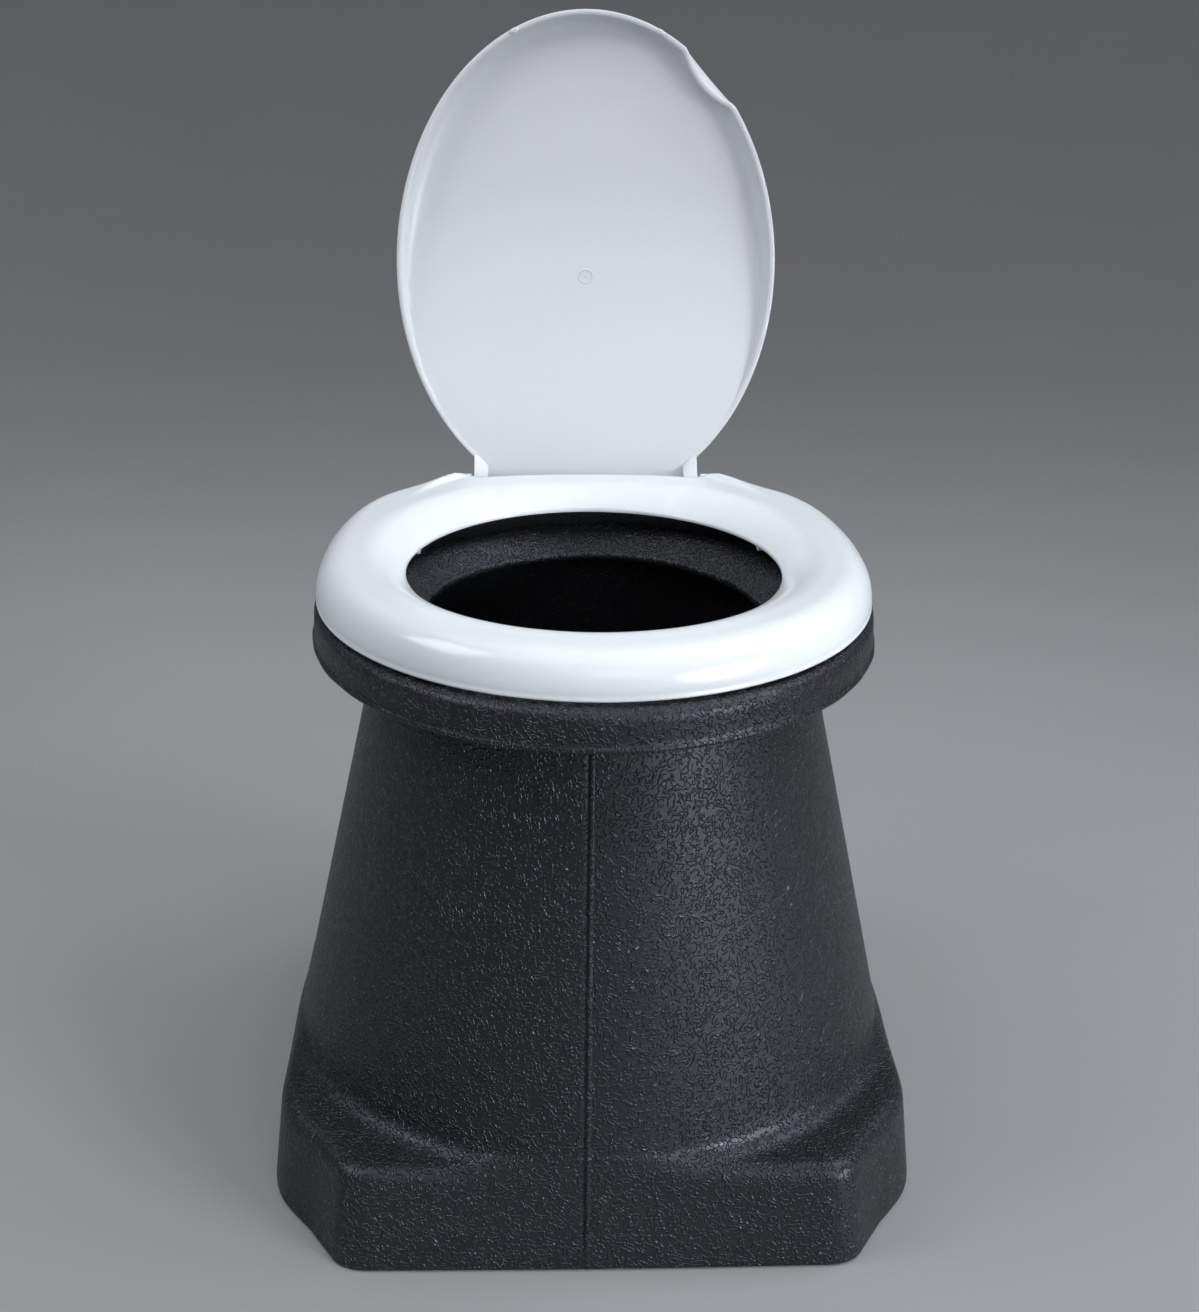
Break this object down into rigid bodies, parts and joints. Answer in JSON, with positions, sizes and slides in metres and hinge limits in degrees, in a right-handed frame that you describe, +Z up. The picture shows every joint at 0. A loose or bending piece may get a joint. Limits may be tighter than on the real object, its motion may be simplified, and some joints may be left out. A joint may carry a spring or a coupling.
{
  "type": "dry toilet",
  "caption": "Waterless pedestal toilet: hollow tapering black moulding on a faceted plinth, with an overhanging flange, a hinged domed seat and a hinged dished lid",
  "frame": {"origin": "on the floor, under the middle of the pedestal", "axes": "+Z up, the user's front towards -Y, +X to the right seen from the front"},
  "size_m": [0.416, 0.4714, 0.7083],
  "materials": {
    "black_moulding": "embossed wrinkle texture, satin",
    "seat_white": "gloss",
    "lid_white": "semi-gloss",
    "hinge_white": "semi-gloss",
    "buffer": "soft satin",
    "rubber": "matte",
    "steel": "plain zinc-bright"
  },
  "bodies": {
    "pedestal": {"pedestal_shell": "black_moulding", "hinge_post_left": "hinge_white", "post_gasket_left": "rubber", "hinge_stud_left": "steel", "flange_washer_left": "rubber", "stud_washer_left": "steel", "wing_nut_left": "hinge_white", "hinge_post_right": "hinge_white", "post_gasket_right": "rubber", "hinge_stud_right": "steel", "flange_washer_right": "rubber", "stud_washer_right": "steel", "wing_nut_right": "hinge_white"},
    "seat": {"seat_ring": "seat_white", "hinge_pin_left": "steel", "hinge_pin_right": "steel", "seat_buffer_front_left": "buffer", "seat_buffer_front_right": "buffer", "seat_buffer_rear_left": "buffer", "seat_buffer_rear_right": "buffer"},
    "lid": {"lid": "lid_white", "lid_buffer_left": "buffer", "lid_buffer_right": "buffer"}
  },
  "joints": [
    {"name": "seat_hinge", "type": "hinge", "parent": "pedestal", "child": "seat", "pos_m": [0, 0.185, 0.387], "axis": [-1, 0, 0], "range_deg": [0, 95]},
    {"name": "lid_hinge", "type": "hinge", "parent": "seat", "child": "lid", "pos_m": [0, 0.185, 0.387], "axis": [1, 0, 0], "range_deg": [0, 100]}
  ]
}
